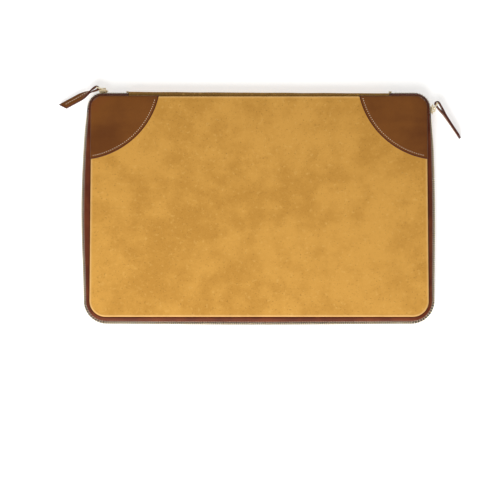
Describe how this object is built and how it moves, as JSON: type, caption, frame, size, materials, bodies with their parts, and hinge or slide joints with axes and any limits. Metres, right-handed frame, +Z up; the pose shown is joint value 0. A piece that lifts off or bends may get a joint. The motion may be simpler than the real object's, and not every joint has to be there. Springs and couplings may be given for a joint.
{
  "type": "zip-around laptop case",
  "caption": "Flat zip-around laptop case in tan suede with brown leather corner patches, a maroon zip gusset and two leather-pulled brass sliders.",
  "frame": {"origin": "middle of the back cover's outer face, which the case lies on", "axes": "+X left to right, +Y from the mouth to the spine, +Z up through the closed case"},
  "size_m": [0.4086, 0.2418, 0.022],
  "materials": {
    "suede": "tan nubuck with a soft nap",
    "brown_leather": "smooth brown leather, waxed",
    "maroon_leather": "smooth dark maroon leather",
    "stiffener": "grey-brown board",
    "lining": "plain woven cotton",
    "zip_tape": "herringbone zip tape",
    "brass": "polished pale brass"
  },
  "bodies": {
    "case_back": {"back_board": "stiffener", "back_gusset": "maroon_leather", "back_lining": "lining", "back_panel": "suede", "back_patch_left": "brown_leather", "back_patch_right": "brown_leather", "back_zip_tape": "zip_tape", "back_zip_teeth": "brass", "left_corner_gusset": "maroon_leather", "left_corner_tape": "zip_tape", "left_corner_teeth": "brass", "left_zip_stop": "brass", "right_corner_gusset": "maroon_leather", "right_corner_tape": "zip_tape", "right_corner_teeth": "brass", "right_zip_stop": "brass", "spine_back_half": "suede"},
    "front_cover": {"front_board": "stiffener", "front_gusset": "maroon_leather", "front_lining": "lining", "front_panel": "suede", "front_patch_left": "brown_leather", "front_patch_right": "brown_leather", "front_zip_tape": "zip_tape", "front_zip_teeth": "brass", "spine_front_half": "suede"},
    "left_slider_body": {"left_slider": "brass"},
    "left_link_body": {"left_link": "brass"},
    "left_pull_body": {"left_pull": "brown_leather"},
    "right_slider_body": {"right_slider": "brass"},
    "right_link_body": {"right_link": "brass"},
    "right_pull_body": {"right_pull": "brown_leather"}
  },
  "joints": [
    {"name": "cover_hinge", "type": "hinge", "parent": "case_back", "child": "front_cover", "pos_m": [0, 0.11705, 0.011], "axis": [-1, 0, 0], "range_deg": [0, 180]},
    {"name": "left_slider_travel", "type": "hinge", "parent": "case_back", "child": "left_slider_body", "pos_m": [-0.158, 0.1, 0.011], "axis": [0, 0, 1], "range_deg": [0, 90]},
    {"name": "left_link_swing", "type": "hinge", "parent": "left_slider_body", "child": "left_link_body", "pos_m": [-0.158, 0.1195, 0.011], "axis": [0, 0, 1], "range_deg": [-50, 6]},
    {"name": "left_pull_swing", "type": "hinge", "parent": "left_link_body", "child": "left_pull_body", "pos_m": [-0.16454, 0.12137, 0.011], "axis": [0, 0, 1], "range_deg": [-40, 16]},
    {"name": "right_slider_travel", "type": "slide", "parent": "case_back", "child": "right_slider_body", "axis": [0, -1, 0], "range_m": [0, 0.1894]},
    {"name": "right_link_swing", "type": "hinge", "parent": "right_slider_body", "child": "right_link_body", "pos_m": [0.1775, 0.0995, 0.011], "axis": [0, 0, 1], "range_deg": [-12, 10]},
    {"name": "right_pull_swing", "type": "hinge", "parent": "right_link_body", "child": "right_pull_body", "pos_m": [0.1809, 0.10539, 0.011], "axis": [0, 0, 1], "range_deg": [-5, 60]}
  ],
  "couplings": [
    {"joint": "left_link_swing", "follows": "left_slider_travel", "ratio": -0.5}
  ]
}
